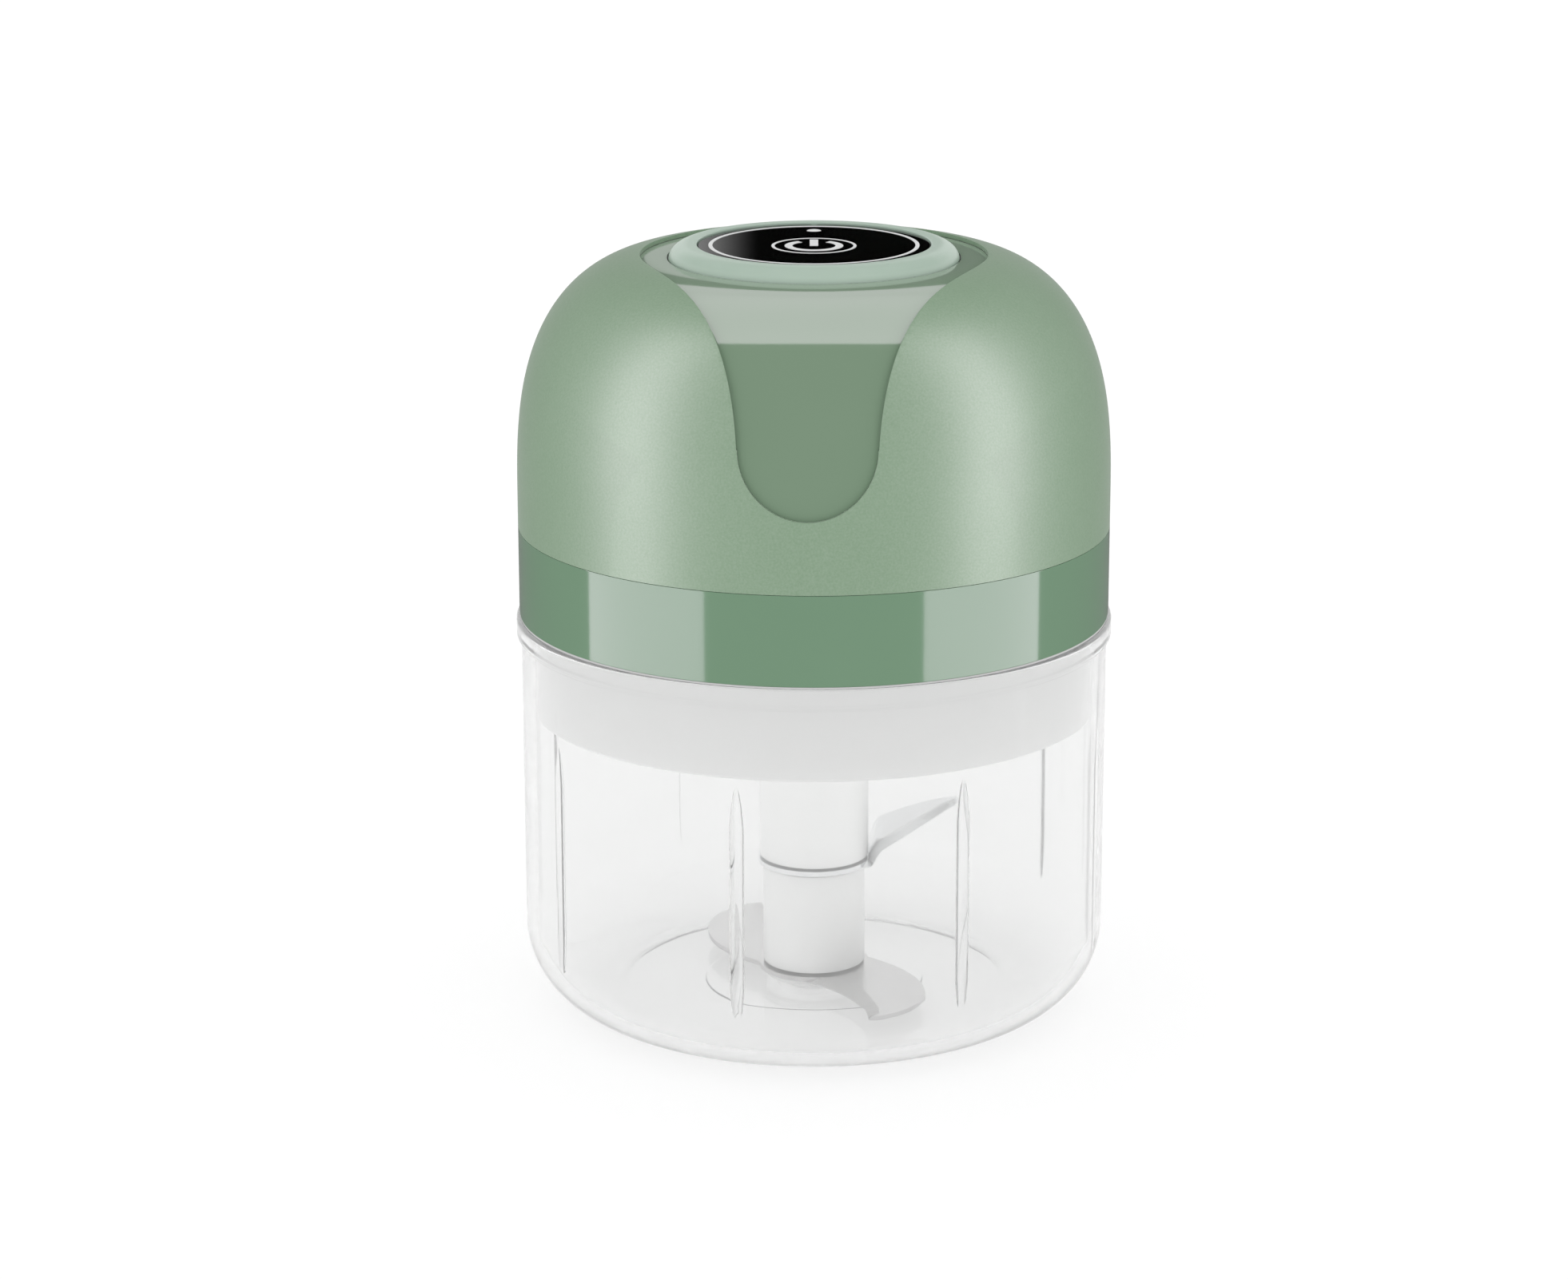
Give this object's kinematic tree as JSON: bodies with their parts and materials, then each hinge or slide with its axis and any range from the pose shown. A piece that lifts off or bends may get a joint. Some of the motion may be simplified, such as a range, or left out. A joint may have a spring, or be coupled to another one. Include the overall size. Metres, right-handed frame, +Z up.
{
  "type": "food processor",
  "caption": "Compact cordless food processor: clear ribbed bowl, winged chopping blade on a tall hub, and a domed green motor head with a round press button on top.",
  "frame": {"origin": "centre of the bowl's flat base, on the surface it stands on", "axes": "+Z up along the blade's axis; -Y is the front, where the gloss tongue runs down the dome; +X is the right seen from the front"},
  "size_m": [0.083, 0.083, 0.1078],
  "materials": {
    "clear_plastic": "clear gloss, slightly hazy on the ribs",
    "white_plastic": "fine satin",
    "hub_plastic": "soft satin, slightly translucent",
    "blade_steel": "stamped stainless steel, bright ground edges",
    "satin_green": "satin lacquer with a fine pearl grain",
    "gloss_green": "high gloss",
    "ring_green": "soft satin",
    "gloss_black": "mirror gloss with a white printed symbol",
    "window_white": "milky light guide",
    "silicone": "matt",
    "motor_steel": "zinc plated",
    "shaft_steel": "polished",
    "bronze": "sintered",
    "copper": "turned",
    "ferrite": "sintered, matt",
    "black_nylon": "moulded",
    "board_green": "solder mask",
    "cell_wrap": "shrink sleeve",
    "wire_red": "insulation",
    "wire_black": "insulation",
    "zinc_screw": "zinc plated"
  },
  "bodies": {
    "bowl": {"bowl": "clear_plastic", "pivot_pin": "shaft_steel"},
    "blade_carrier": {"pivot_bush": "bronze"},
    "blade": {"blade_hub": "hub_plastic", "hub_spacer": "hub_plastic", "lower_blade": "blade_steel", "upper_blade": "blade_steel", "hub_nut": "white_plastic", "drive_socket": "black_nylon"},
    "head": {"outer_shell": "satin_green", "inner_housing": "gloss_green", "trim_band": "gloss_green", "motor_base": "white_plastic", "lip_gasket": "silicone", "motor_can": "motor_steel", "motor_magnet_left": "ferrite", "motor_magnet_right": "ferrite", "motor_end_cap": "black_nylon", "brush_left": "ferrite", "brush_right": "ferrite", "motor_terminal_left": "bronze", "motor_terminal_right": "bronze", "shaft_bearing": "bronze", "shaft_seal": "silicone", "battery_cell": "cell_wrap", "battery_clip": "black_nylon", "control_board": "board_green", "tact_switch": "black_nylon", "indicator_led": "window_white", "charge_board": "board_green", "usb_socket": "shaft_steel", "base_screw_1": "zinc_screw", "base_screw_2": "zinc_screw", "base_screw_3": "zinc_screw", "base_screw_4": "zinc_screw", "motor_screw_1": "zinc_screw", "motor_screw_2": "zinc_screw", "board_screw_1": "zinc_screw", "board_screw_2": "zinc_screw", "battery_lead_red": "wire_red", "battery_lead_black": "wire_black", "motor_lead_red": "wire_red", "motor_lead_black": "wire_black", "charge_lead_red": "wire_red", "button_spring": "shaft_steel"},
    "rotor": {"motor_shaft": "shaft_steel", "armature": "motor_steel", "commutator": "copper", "drive_coupling": "black_nylon"},
    "button": {"button_ring": "ring_green", "button_lens": "gloss_black", "indicator_window": "window_white"},
    "port_plug": {"port_plug": "silicone"}
  },
  "joints": [
    {"name": "head_lift", "type": "slide", "parent": "bowl", "child": "head", "axis": [0, 0, 1], "range_m": [0, 0.07]},
    {"name": "blade_lift", "type": "slide", "parent": "bowl", "child": "blade_carrier", "axis": [0, 0, 1], "range_m": [0, 0.035]},
    {"name": "blade_spin", "type": "hinge", "parent": "blade_carrier", "child": "blade", "pos_m": [0, 0, 0.02], "axis": [0, 0, 1], "continuous": true},
    {"name": "rotor_spin", "type": "hinge", "parent": "head", "child": "rotor", "pos_m": [0, 0, 0.06], "axis": [0, 0, 1], "continuous": true},
    {"name": "button_press", "type": "slide", "parent": "head", "child": "button", "axis": [0, 0, -1], "range_m": [0, 0.0012], "stiffness_N_per_m": 300, "springref_m": -0.002, "deforming": ["button_spring"]},
    {"name": "port_plug_open", "type": "hinge", "parent": "head", "child": "port_plug", "pos_m": [0, 0.0411, 0.0756], "axis": [-1, 0, 0], "range_deg": [0, 100]}
  ],
  "couplings": [
    {"joint": "blade_lift", "follows": "head_lift", "ratio": 0.5},
    {"joint": "blade_spin", "follows": "rotor_spin", "ratio": 1}
  ]
}
